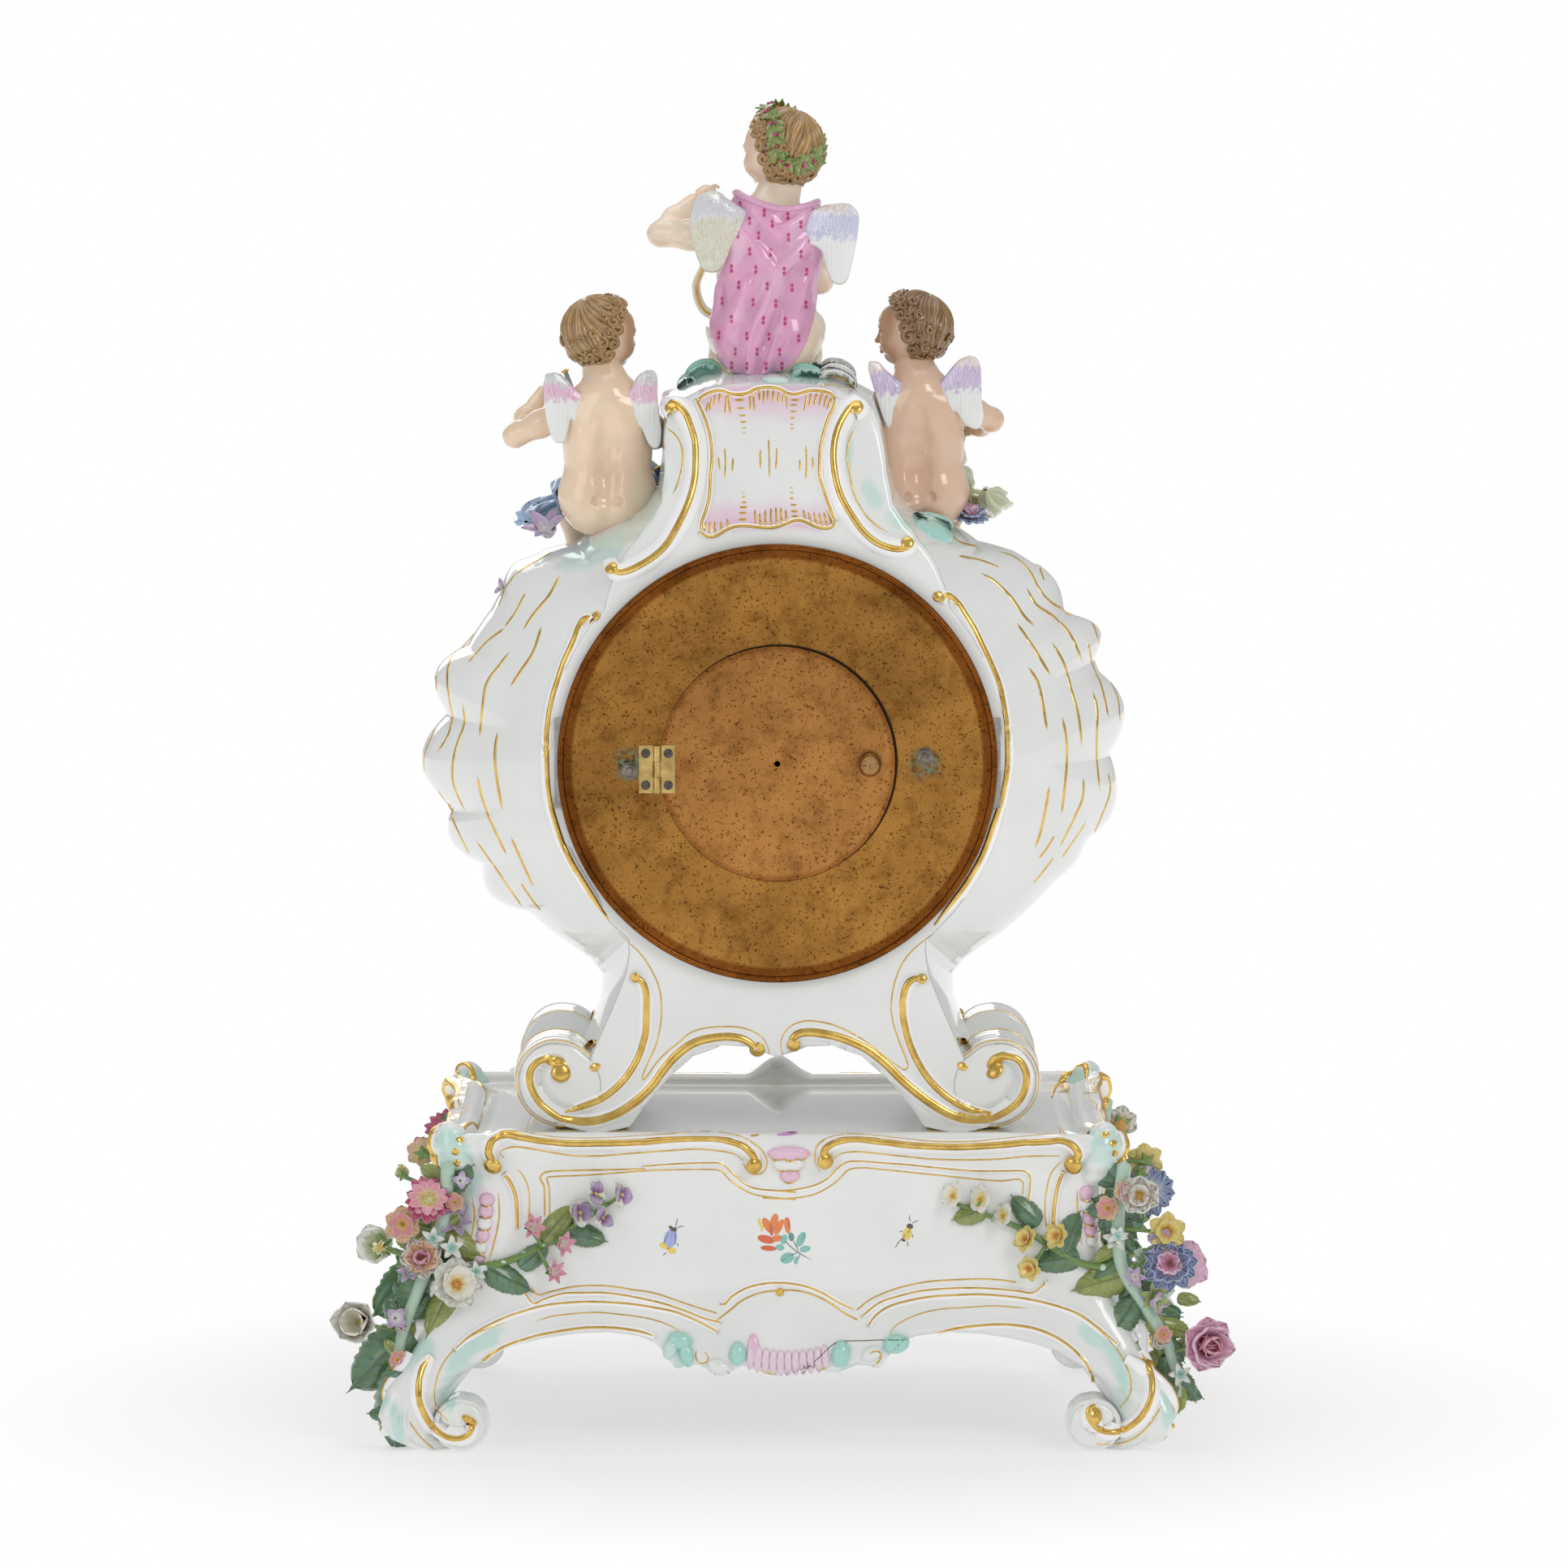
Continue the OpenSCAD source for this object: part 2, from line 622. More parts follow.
// A bloom with a wavy cup of petals, facing up
module bloom(r, petals) {
  sides = petals * 3;
  rim = [
    for (j = [0:sides - 1])
      let (a = j * 360 / sides, s = r * (j % 3 == 0 ? 0.78 : 1)) [s * cos(a), s * sin(a),
        r * (j % 3 == 0 ? 0.2 : 0.38)]
  ];
  low = [for (j = [0:sides - 1]) let (a = j * 360 / sides) [r * 0.42 * cos(a), r * 0.42 * sin(a), -r * 0.2]];
  ringed_solid([0, 0, r * 0.18], concat(rim, low), [0, 0, -r * 0.45], sides);
}

// A pointed leaf along +X, cupped, with a thickness
module leaf(l, w, t) {
  hull() {
    translate([l / 2, 0, l * 0.08]) cube([l * 0.3, w, t], center = true);
    cube([t, t, t], center = true);
    translate([l, 0, 0]) cube([t, t, t], center = true);
  }
}

function on_corner(p) = [p[0] * stand_half_w, p[1] * stand_half_d, p[2] * stand_h];

module branch(points) {
  for (i = [0:len(points) - 2])
    limb(on_corner(points[i]), points[i][3] * branch_r, on_corner(points[i + 1]), points[i + 1][3] * branch_r,
      0, trim_fn);
}

// The flowers of one corner, cut to seat on the stand
module flowers(mx, my) {
  mirror([mx, 0, 0]) mirror([0, my, 0]) difference() {
    union() {
      branch(branch_shares);
      branch(spray_shares);
      for (b = bloom_shares) translate(on_corner(b)) rotate([0, b[5], b[4]]) bloom(bloom_r * b[3], 5);
      for (l = leaf_shares)
        translate(on_corner(l)) rotate([0, l[5], l[4]])
          leaf(bloom_r * 1.5 * l[3], bloom_r * 0.8 * l[3], leaf_t);
    }
    stand_form(seat_gap);
    foot_scrolls(seat_gap);
    translate([0, 0, -stand_h / 2 + 1]) cube([4 * stand_half_w, 4 * stand_half_d, stand_h], center = true);
  }
}

module flowers_rear_left() color("palevioletred") flowers(0, 0);
module flowers_rear_right() color("goldenrod") flowers(1, 0);
module flowers_front_left() color("plum") flowers(0, 1);
module flowers_front_right() color("lightpink") flowers(1, 1);

// Case

function flute_rise(a, table) =
  max([for (f = table) f[2] * max(0, cos(90 * min(1, abs(a - f[0]) / f[1])))]);

// Height above level of direction t, which runs once round from the right
function level_of(t) = t <= 90 ? t : t <= 270 ? 180 - t : t - 360;

// Outline's radius at direction t, in the section at share k of the half depth
function case_r(t, k, grow) =
  let (a = level_of(t), left = t < 90 || t > 270,
    flutes = flute_rise(a, left ? left_flute_shares : right_flute_shares),
    wide = case_half_w * (lookup(a, outline_shares) + flutes * (1 - k * k)),
    flat = face_r + (wide - edge_round - face_r) * lookup(a, follow_shares),
    bulge = 1 - pow(abs(k), bulge_power))
  max(face_r, flat + (wide - flat) * bulge) + grow;

// Half depth of the face at direction t and radius r
function face_d(t, r, grow) =
  let (rise = max(0, sin(t)) * (r - face_r) / (crown_z - face_z - face_r))
  case_half_d - (case_half_d - crown_half_d) * max(0, min(1, rise)) + grow;

function case_point(t, r, y) = [r * cos(t) + neck_lean * soften((r * sin(t) - face_r) / face_r), y,
  face_z + r * sin(t)];

case_angles = [
  each [-90:4:-78], each [-75:2:-51], each [-48:4:48], each [52:4:88], each [92:4:128], each [132:4:228],
  each [231:2:255], each [258:4:266]
];
case_n = len(case_angles);

function side_ring(k, grow) = [
  for (t = case_angles)
    let (r = case_r(t, k, grow)) case_point(t, r, k * face_d(t, r, grow))
];

function face_ring(side, grow) = [
  for (t = case_angles) let (r = case_r(t, 1, grow)) case_point(t, r, side * face_d(t, r, grow))
];

function open_ring(r, y) = [for (t = case_angles) [r * cos(t), y, face_z + r * sin(t)]];

function inner_ring(k) = [
  for (t = case_angles)
    let (r = min(hollow_r - hollow_taper * abs(k), case_r(t, k, 0) - case_wall / sqrt(1 - k * k)))
    [r * cos(t), k * case_half_d, face_z + r * sin(t)]
];

// The case as one solid lump, grown all round, for cutting what sits on it
module case_form(grow) {
  y = case_half_d + grow;
  rings = concat(
    open_ring(face_r - edge_round / 2, -y), face_ring(-1, grow),
      [for (k = side_stations) each side_ring(k, grow)],
    face_ring(1, grow), open_ring(face_r - edge_round / 2, y));
  ringed_solid([0, -y, face_z], rings, [0, y, face_z], case_n);
}

// The hollow case with its two round openings
module case_body() {
  d = case_half_d;
  flat_r = face_r - edge_round / 2;
  rings = concat(
    open_ring(front_open_r, -d), open_ring(flat_r, -d), face_ring(-1, 0),
      [for (k = side_stations) each side_ring(k, 0)],
    face_ring(1, 0), open_ring(flat_r, d), open_ring(rear_open_r, d), open_ring(rear_open_r, d - case_wall),
    [for (k = inner_stations) each inner_ring(k)], open_ring(front_open_r, case_wall - d));
  polyhedron(points = rings, faces = band_faces(len(rings) / case_n, case_n, 1), convexity = 10);
}

// One rolled scroll foot, a short drum with a waist
module volute(side, end, grow) {
  for (part = [0, 1])
    hull() {
      for (y = [part * volute_len / 2, (part + 1) * volute_len / 2])
        translate([side * volute_x, end * (case_half_d - y), volute_z]) rotate([90, 0, 0])
          cylinder(h = seat_gap, r = volute_r + grow - (part == 0 && y == 0 ? edge_round / 2 : 0),
            center = true, $fn = 16);
    }
}

module volutes(grow) {
  for (side = [-1, 1]) for (end = [-1, 1]) volute(side, end, grow);
}

module case_shell() color("white") {
  difference() {
    union() {
      case_body();
      volutes(0);
    }
    translate([0, 0, foot_z - stand_h]) cube([4 * case_half_w, 4 * case_half_d, 2 * stand_h], center = true);
  }
}

module torso(size, grow) {
  for (mx = [0, 1]) mirror([mx, 0, 0]) chain(body_shares, size, grow);
  chain(hip_shares, size, grow);
  chain(shoulder_shares, size, grow);
}

// A seated child: the arms are chains, and head is [x, y, z, radius]
module putto(size, left_arm, right_arm, head, grow) {
  torso(size, grow);
  chain(right_leg_shares, size, grow);
  chain(left_leg_shares, size, grow);
  chain(left_arm, size, grow);
  chain(right_arm, size, grow);
  chain([neck_share, [head[0], head[1], head[2] - head[3] / 2, neck_share[3]]], size, grow);
  limb([head[0], head[1], head[2]] * size, head[3] * size,
    [head[0], head[1] + 0.02, head[2] + 0.02] * size, head[3] * size, grow, ball_fn + 2);
}

module top_form(grow) {
  translate(top_seat) putto(top_putto_h, top_left_arm_shares, top_right_arm_shares, top_head_shares, grow);
}

module left_form(grow) {
  translate(left_seat) putto(side_putto_h, left_left_arm_shares, left_right_arm_shares, left_head_shares,
    grow);
}

module right_form(grow) {
  translate(right_seat) putto(side_putto_h, right_left_arm_shares, right_right_arm_shares,
    right_head_shares, grow);
}

module top_putto() color("peachpuff") difference() {
  top_form(0);
  case_form(seat_gap);
}

module left_putto() color("navajowhite") difference() {
  left_form(0);
  case_form(seat_gap);
}

module right_putto() color("burlywood") difference() {
  right_form(0);
  case_form(seat_gap);
}

// A wing of length l whose root is at p, to one side, cut to seat on the back
module wing(p, l, side) {
  translate(p)
    for (f = wing_shares)
      limb([side * f[0][0], f[0][1], f[0][2]] * l, wing_t, [side * f[1][0], f[1][1], f[1][2]] * l, wing_t,
        0, trim_fn);
}

module wings(seat, size) {
  for (side = [-1, 1])
    wing(seat + size * [side * wing_root_shares[0], wing_root_shares[1], wing_root_shares[2]],
      size * wing_len_share, side);
}

module top_putto_wings() color("lavender") difference() {
  wings(top_seat + [0, cloak_t, 0], top_putto_h);
  top_form(cloak_t + 2 * seat_gap);
}

module left_putto_wings() color("lavenderblush") difference() {
  wings(left_seat, side_putto_h);
  left_form(seat_gap);
  case_form(seat_gap);
}

module right_putto_wings() color("thistle") difference() {
  wings(right_seat, side_putto_h);
  right_form(seat_gap);
  case_form(seat_gap);
}

// The cloak lies on the back as a skin over the body
module top_putto_cloak() color("orchid") difference() {
  translate(top_seat) torso(top_putto_h, cloak_t + seat_gap);
  top_form(seat_gap);
  case_form(seat_gap);
  translate(top_seat + top_putto_h * [-1, -2 + cloak_front_share, -1]) cube(2 * top_putto_h);
  translate(top_seat + top_putto_h * [-1, -1, 0.54]) cube(2 * top_putto_h);
}

// The wreath is a tilted ring about the head
module top_putto_wreath() color("olivedrab") difference() {
  translate(top_seat + top_putto_h * [top_head_shares[0], top_head_shares[1] + 0.01,
    top_head_shares[2] + 0.01])
    rotate([0, -wreath_tilt, 0])
      for (i = [0:wreath_n - 1]) {
        a = i * 360 / wreath_n;
        b = a + 360 / wreath_n;
        r = top_putto_h * top_head_shares[3] + wreath_r;
        limb(r * [cos(a), sin(a), 0], wreath_r, r * [cos(b), sin(b), 0], wreath_r * 0.7, 0, trim_fn);
      }
  top_form(seat_gap);
}

module lyre() color("gold") difference() {
  translate(top_seat + top_putto_h * lyre_place) {
    for (mx = [0, 1]) mirror([mx, 0, 0]) chain(lyre_arm_shares, top_putto_h, 0, trim_fn);
    chain([[-0.1, 0, 0.3, 0.015], [0.1, 0, 0.3, 0.015]], top_putto_h, 0, trim_fn);
  }
  top_form(seat_gap);
  case_form(seat_gap);
}

module left_putto_drape() color("lightskyblue") difference() {
  translate(left_seat) chain(drape_shares, side_putto_h, 0, trim_fn);
  left_form(seat_gap);
  case_form(seat_gap);
}

module right_putto_drape() color("palegoldenrod") difference() {
  translate(right_seat) mirror([1, 0, 0]) chain(drape_shares, side_putto_h, 0, trim_fn);
  right_form(seat_gap);
  case_form(seat_gap);
}

module horn() color("goldenrod") difference() {
  translate(left_seat) chain(horn_shares, side_putto_h, 0, trim_fn);
  left_form(seat_gap);
  left_putto_drape_form(seat_gap);
  case_form(seat_gap);
}

module left_putto_drape_form(grow) {
  translate(left_seat) chain(drape_shares, side_putto_h, grow, trim_fn);
}

module drum() color("peru") difference() {
  translate(right_seat + side_putto_h * drum_place_shares) rotate([60, 0, 25])
    for (i = [0:7])
      hull() for (s = [0, 1])
        rotate(45 * (i + s)) translate([side_putto_h * drum_r_share, 0, 0])
          cylinder(h = side_putto_h * drum_h_share, r = wing_t, center = true, $fn = trim_fn);
  right_form(seat_gap);
  case_form(seat_gap);
}

// Rear plate and door

module rear_plate() color("darkgoldenrod") difference() {
  union() {
    rod(0, 0, plate_y, plate_back, plate_r, 96);
    translate([0, plate_back, face_z]) rotate([-90, 0, 0])
      rotate_extrude($fn = 96) translate([plate_r - roll_r, 0]) circle(r = roll_r, $fn = 16);
  }
  rod(0, 0, plate_y - cut, plate_back + cut, door_open_r, 96);
  rod(0, 0, plate_back - door_t - sunk_gap, plate_back + cut, door_r + door_gap, 96);
  for (s = [-1, 1]) tie_rod(s, plate_y - cut, plate_back + cut, tie_r + door_gap);
}

// A rod at one tie stud's place
module tie_rod(s, y0, y1, r) {
  rod(s * tie_x * cos(tie_slant), -s * tie_x * sin(tie_slant), y0, y1, r);
}

module clamp_plates() color("lightslategray") for (s = [-1, 1]) difference() {
  translate([s > 0 ? clamp_in : -clamp_out, clamp_y, face_z - clamp_h / 2])
    cube([clamp_out - clamp_in, clamp_t, clamp_h]);
  tie_rod(s, clamp_y - cut, plate_y + cut, tie_r + door_gap);
}

module tie_studs() color("slategray") for (s = [-1, 1])
  tie_rod(s, web_y, plate_back + washer_t + nut_h + tie_r, tie_r);

module tie_washers() color("gray") for (s = [-1, 1]) difference() {
  tie_rod(s, plate_back, plate_back + washer_t, washer_r);
  tie_rod(s, plate_back - cut, plate_back + washer_t + cut, tie_r + run_gap);
}

module tie_nuts() color("dimgray") for (s = [-1, 1]) difference() {
  translate([s * tie_x * cos(tie_slant), plate_back + washer_t, face_z - s * tie_x * sin(tie_slant)])
    rotate([-90, 0, 0]) cylinder(h = nut_h, r = nut_r, $fn = 6);
  tie_rod(s, plate_back, plate_back + washer_t + nut_h + cut, tie_r + run_gap);
}

module rear_door() color("peru") pipe(0, 0, plate_back - door_t, plate_back, door_r, peep_r);

// A turned pull knob
module door_knob() color("sienna") translate([knob_x, plate_back, face_z]) rotate([-90, 0, 0])
  rotate_extrude($fn = round_fn) polygon([
    [0, 0], [knob_r * 0.7, 0], [knob_r * 0.4, knob_h * 0.2], [knob_r * 0.45, knob_h * 0.4],
      [knob_r, knob_h * 0.55],
    [knob_r, knob_h * 0.8], [knob_r * 0.75, knob_h], [0, knob_h]
  ]);

// Rear hinge: the plate has the outer two knuckles and the door the middle one
function knuckle_z(i) = hinge_z - hinge_h / 2 + i * hinge_h / 3;

module knuckle(i) {
  translate([hinge_x, hinge_y, knuckle_z(i) + knuckle_gap / 2])
    cylinder(h = hinge_h / 3 - knuckle_gap, r = knuckle_r, $fn = 24);
}

// The tab that joins knuckle i to its leaf on side s
module knuckle_tab(i, s) {
  translate([s > 0 ? hinge_x : hinge_x - leaf_reach, plate_back, knuckle_z(i) + knuckle_gap / 2])
    cube([leaf_reach, hinge_leaf_t, hinge_h / 3 - knuckle_gap]);
}

module hinge_leaf(s, knuckles) {
  x = s > 0 ? hinge_x + leaf_reach : hinge_x - leaf_reach - hinge_leaf_w;
  difference() {
    union() {
      translate([x, plate_back, hinge_z - hinge_h / 2]) cube([hinge_leaf_w, hinge_leaf_t, hinge_h]);
      for (i = knuckles) {
        knuckle(i);
        knuckle_tab(i, s);
      }
    }
    translate([hinge_x, hinge_y, hinge_z - hinge_h])
      cylinder(h = 2 * hinge_h, r = hinge_pin_r + run_gap, $fn = 24);
  }
}

module plate_hinge_leaf() color("gold") hinge_leaf(1, [0, 2]);
module door_hinge_leaf() color("gold") hinge_leaf(-1, [1]);

module hinge_pin() color("dimgray")
  translate([hinge_x, hinge_y, hinge_z - hinge_h / 2]) cylinder(h = hinge_h, r = hinge_pin_r, $fn = 24);

// Two slotted screws on one hinge leaf
module leaf_screws(s) {
  x = hinge_x + s * (leaf_reach + hinge_leaf_w / 2);
  for (k = [-1, 1]) difference() {
    translate([x, plate_back + hinge_leaf_t, hinge_z + k * hinge_screw_z]) rotate([-90, 0, 0])
      cylinder(h = screw_t, r = screw_r, $fn = 24);
    translate([x - screw_r, plate_back + hinge_leaf_t + screw_t / 2,
      hinge_z + k * hinge_screw_z - slot_w / 2])
      cube([2 * screw_r, screw_t, slot_w]);
  }
}

module plate_screws() color("saddlebrown") leaf_screws(1);
module door_screws() color("saddlebrown") leaf_screws(-1);

// Dial and bezel

module dial_frame() color("goldenrod") {
  pipe(0, 0, frame_front, frame_y, bezel_r, tube_in_r);
  pipe(0, 0, frame_front, web_y, tube_r, tube_in_r);
  pipe(0, 0, web_y - frame_t, web_y, tube_r, web_hole_r);
  for (p = post_places) rod(p[0], p[1], web_y - frame_t, fplate_y, post_r);
  translate([bezel_pin_x, frame_front, face_z - bezel_knuckle_h / 2])
    cube([lug_share * bezel_r, frame_t, bezel_knuckle_h]);
  bezel_knuckle(0);
  bezel_pin_rod(hinge_pin_r, 1.5 * bezel_knuckle_h);
}

module bezel_pin_rod(r, h) {
  translate([bezel_pin_x, bezel_pin_y, face_z - h]) cylinder(h = 2 * h, r = r, $fn = 24);
}

module bezel_knuckle(i) {
  translate([bezel_pin_x, bezel_pin_y, face_z - bezel_knuckle_h / 2 + i * (bezel_knuckle_h + knuckle_gap)])
    cylinder(h = bezel_knuckle_h, r = bezel_knuckle_r, $fn = 24);
}

// Enamelled dial with feet that stand on the frame's web
module dial() color("ivory") difference() {
  union() {
    rod(0, 0, dial_y, dial_y + dial_t, dial_r, 96);
    for (p = post_places) rod(p[0] * dial_foot_share, p[1] * dial_foot_share, dial_y, web_y - frame_t,
      arbor_r);
  }
  rod(0, 0, dial_y - cut, dial_y + dial_t + cut, hour_pipe_r + door_gap);
  for (s = [-1, 1]) rod(s * barrel_x, barrel_z, dial_y - cut, dial_y + dial_t + cut, winding_hole_r);
}

module bezel() color("gold") {
  difference() {
    union() {
      translate([0, bezel_back, face_z]) rotate([90, 0, 0])
        rotate_extrude($fn = 96) polygon([
          [bezel_r, 0], [bezel_r, bezel_t * 0.35], [bezel_r - bezel_t * 0.4, bezel_t * 0.75],
          [bezel_r - bezel_t * 0.8, bezel_t], [sight_r + bezel_t * 0.5, bezel_t * 0.8],
            [sight_r, bezel_t * 0.55],
          [sight_r, bezel_t * 0.4], [glass_r + run_gap, bezel_t * 0.4], [glass_r + run_gap, 0]
        ]);
      for (i = [-1, 1]) {
        bezel_knuckle(i);
        translate([bezel_pin_x, bezel_back - lug_t,
          face_z - bezel_knuckle_h / 2 + i * (bezel_knuckle_h + knuckle_gap)])
          cube([lug_share * bezel_r, lug_t, bezel_knuckle_h]);
      }
    }
    bezel_pin_rod(hinge_pin_r + run_gap, 2 * bezel_knuckle_h);
  }
}

// Domed glass, thickest at its rim
module bezel_glass() color("aliceblue", 0.4) {
  y0 = bezel_t * 0.4;
  translate([0, bezel_back, face_z]) rotate([90, 0, 0])
    rotate_extrude($fn = 96) polygon(concat(
      [[glass_r, y0 - glass_t]],
      [[glass_r, y0]], [[sight_r, y0]],
      [for (i = [1:6]) let (s = 1 - i / 6) [sight_r * s, y0 + glass_rise * (1 - s * s)]],
      [for (i = [0:5]) let (s = i / 6) [sight_r * s, y0 - glass_t + glass_rise * (1 - s * s)]]
    ));
}

// A pierced hand of length l that points at angle a, with its ring about the arbor
module hand(l, y, t, bore, a) {
  w = l * 0.07;
  translate([0, y, face_z]) rotate([-90, a, 0]) difference() {
    union() {
      cylinder(h = t, r = bore + w, $fn = round_fn);
      translate([-w / 3, -l * 0.62, 0]) cube([w / 1.5, l * 0.6, t]);
      translate([0, -l * 0.66, 0]) cylinder(h = t, r = w * 1.3, $fn = 24);
      linear_extrude(t) polygon([[-w, -l * 0.68], [0, -l], [w, -l * 0.68]]);
    }
    translate([0, 0, -cut]) cylinder(h = t + 2 * cut, r = bore, $fn = round_fn);
    translate([0, -l * 0.66, -cut]) cylinder(h = t + 2 * cut, r = w * 0.7, $fn = 24);
  }
}

module hour_hand() color("midnightblue") hand(hour_len, hour_hand_y, hour_t, hour_pipe_r, hour_angle);
module minute_hand() color("midnightblue") hand(minute_len, minute_hand_y, minute_t, cannon_r, minute_angle);

module hand_nut() color("gold") pipe(0, 0, hand_nut_y, minute_hand_y, cannon_r + arbor_r, arbor_r + run_gap);

// Movement

// Holes through a plate whose front is at y
module mplate_holes(y) {
  for (s = [-1, 1]) {
    rod(s * barrel_x, barrel_z, y - cut, y + mplate_t + cut, winding_r + run_gap);
    rod(s * second_x, second_z, y - cut, y + mplate_t + cut, pivot_r + run_gap);
  }
  for (z = [third_z, escape_z]) rod(0, z, y - cut, y + mplate_t + cut, pivot_r + run_gap);
  rod(hammer_x, hammer_z, y - cut, y + mplate_t + cut, pivot_r + run_gap);
}

module front_plate() color("gold") {
  difference() {
    rod(0, 0, fplate_y, gap_y, mplate_r, 96);
    mplate_holes(fplate_y);
    rod(0, 0, fplate_y - cut, gap_y + cut, arbor_r + run_gap);
    rod(0, pallet_z, fplate_y - cut, gap_y + cut, pivot_r + run_gap);
  }
  rod(motion_x, motion_z, hour_wheel_y - end_gap, fplate_y, arbor_r);
}

module back_plate() color("gold") difference() {
  rod(0, 0, bplate_y, back_y, mplate_r, 96);
  mplate_holes(bplate_y);
  rod(0, 0, bplate_y - cut, back_y + cut, pivot_r + run_gap);
  rod(0, pallet_z, bplate_y - cut, back_y + cut, arbor_r + shoulder_gap);
}

module pillars() color("goldenrod") for (p = pillar_places) rod(p[0], p[1], gap_y, bplate_y, pillar_r);

// Hammer: its arbor between the plates, the arm behind them and the head beside the bell's rim
module hammer() color("steelblue") {
  head_x = hammer_reach * cos(hammer_angle);
  head_z = bell_z + hammer_reach * sin(hammer_angle);
  shank_a = atan2(head_z - hammer_z, head_x - hammer_x);
  shank_l = sqrt(pow(head_z - hammer_z, 2) + pow(head_x - hammer_x, 2));
  rod(hammer_x, hammer_z, gap_y + shoulder_gap, bplate_y - shoulder_gap, arbor_r);
  rod(hammer_x, hammer_z, fplate_y, back_y + hammer_gap, pivot_r);
  translate([hammer_x, back_y + hammer_gap, face_z + hammer_z]) rotate([0, -shank_a, 0])
    translate([-arbor_r, 0, -arbor_r])
    cube([shank_l + 2 * arbor_r, mplate_t, 2 * arbor_r]);
  rod(head_x, head_z, back_y + hammer_gap, bell_y + hammer_gap, arbor_r);
  rod(head_x, head_z, bell_y + hammer_gap, bell_y + hammer_gap + hammer_h, hammer_r);
}

// A toothed wheel or pinion along the depth: a tooth's middle lies at direction a, or a gap's where gap is 1
module gear(x, z, y, t, m, n, a, gap, bore) {
  r = m * n / 2;
  root = r - m * (n > 20 ? 1.15 : 1.25);
  tip = r + m * (n > 20 ? 0.7 : 0.45);
  wide = 360 / n * (n > 20 ? 0.26 : 0.24);
  thin = 360 / n * 0.11;
  difference() {
    translate([x, y, face_z + z]) rotate([-90, 0, 0]) rotate(-a - gap * 180 / n) linear_extrude(t)
      polygon([
        for (i = [0:n - 1]) let (c = i * 360 / n)
          each [
            root * [cos(c - wide), sin(c - wide)], tip * [cos(c - thin), sin(c - thin)],
            tip * [cos(c + thin), sin(c + thin)], root * [cos(c + wide), sin(c + wide)]
          ]
      ]);
    rod(x, z, y - cut, y + t + cut, bore);
  }
}

// Direction in degrees from one place to another
function toward(x0, z0, x1, z1) = atan2(z1 - z0, x1 - x0);

// A barrel of side s, whose great wheel drives the second pinion
module barrel(s) {
  difference() {
    union() {
      rod(s * barrel_x, barrel_z, great_y + great_t, great_y + great_t + barrel_h, barrel_r);
      gear(s * barrel_x, barrel_z, great_y, great_t, great_m, great_n,
        toward(s * barrel_x, barrel_z, s * second_x, second_z), 0, winding_r);
    }
    rod(s * barrel_x, barrel_z, great_y - cut, great_y + great_t + barrel_h + cut, winding_r + run_gap);
  }
}

module time_barrel() color("goldenrod") barrel(1);
module strike_barrel() color("goldenrod") barrel(-1);

// A winding arbor with a squared front end
module winding_arbor(s) {
  side = winding_square_share * winding_r;
  rod(s * barrel_x, barrel_z, fplate_y - mplate_t, back_y, winding_r);
  translate([s * barrel_x - side / 2, winding_front_y, face_z + barrel_z - side / 2])
    cube([side, fplate_y - winding_front_y, side]);
}

module time_arbor() color("silver") winding_arbor(1);
module strike_arbor() color("silver") winding_arbor(-1);

// An arbor at (x, z) with a pivot in each plate
module arbor(x, z, r) {
  rod(x, z, gap_y + shoulder_gap, bplate_y - shoulder_gap, r);
  rod(x, z, fplate_y, back_y, pivot_r);
}

// The second wheel of side s with its pinion, its wheel at depth y
module second_wheel(s, y) {
  x = s * second_x;
  arbor(x, second_z, arbor_r);
  gear(x, second_z, great_y - pinion_over, great_t + 2 * pinion_over, great_m, second_pinion_n,
    toward(x, second_z, s * barrel_x, barrel_z), 1, 0);
  gear(x, second_z, y, wheel_t, second_m, second_n, toward(x, second_z, 0, 0), 0, 0);
}

module time_second_wheel() color("gold") second_wheel(1, second_wheel_y);
module strike_second_wheel() color("gold") second_wheel(-1, strike_wheel_y);

module centre_wheel() color("gold") {
  rod(0, 0, hand_nut_y - arbor_r, bplate_y - shoulder_gap, arbor_r);
  rod(0, 0, bplate_y - shoulder_gap, back_y, pivot_r);
  gear(0, 0, second_wheel_y - pinion_over, wheel_t + 2 * pinion_over, second_m, centre_pinion_n,
    toward(0, 0, second_x, second_z), 1, 0);
  gear(0, 0, centre_wheel_y, wheel_t, centre_m, centre_n, 90, 0, 0);
}

module third_wheel() color("gold") {
  arbor(0, third_z, fine_r);
  gear(0, third_z, centre_wheel_y - pinion_over, wheel_t + 2 * pinion_over, centre_m, third_pinion_n, -90,
    1, 0);
  gear(0, third_z, third_wheel_y, wheel_t, centre_m, third_n, 90, 0, 0);
}

module escape_wheel() color("gold") {
  arbor(0, escape_z, fine_r);
  gear(0, escape_z, third_wheel_y - pinion_over, wheel_t + 2 * pinion_over, centre_m, escape_pinion_n, -90,
    1, 0);
  translate([0, escape_wheel_y, face_z + escape_z]) rotate([-90, 0, 0]) linear_extrude(wheel_t)
    polygon([
      for (i = [0:escape_n - 1]) let (c = i * 360 / escape_n)
        each [escape_root_share * escape_r * [cos(c), sin(c)],
          escape_r * [cos(c + escape_lean), sin(c + escape_lean)]]
    ]);
}

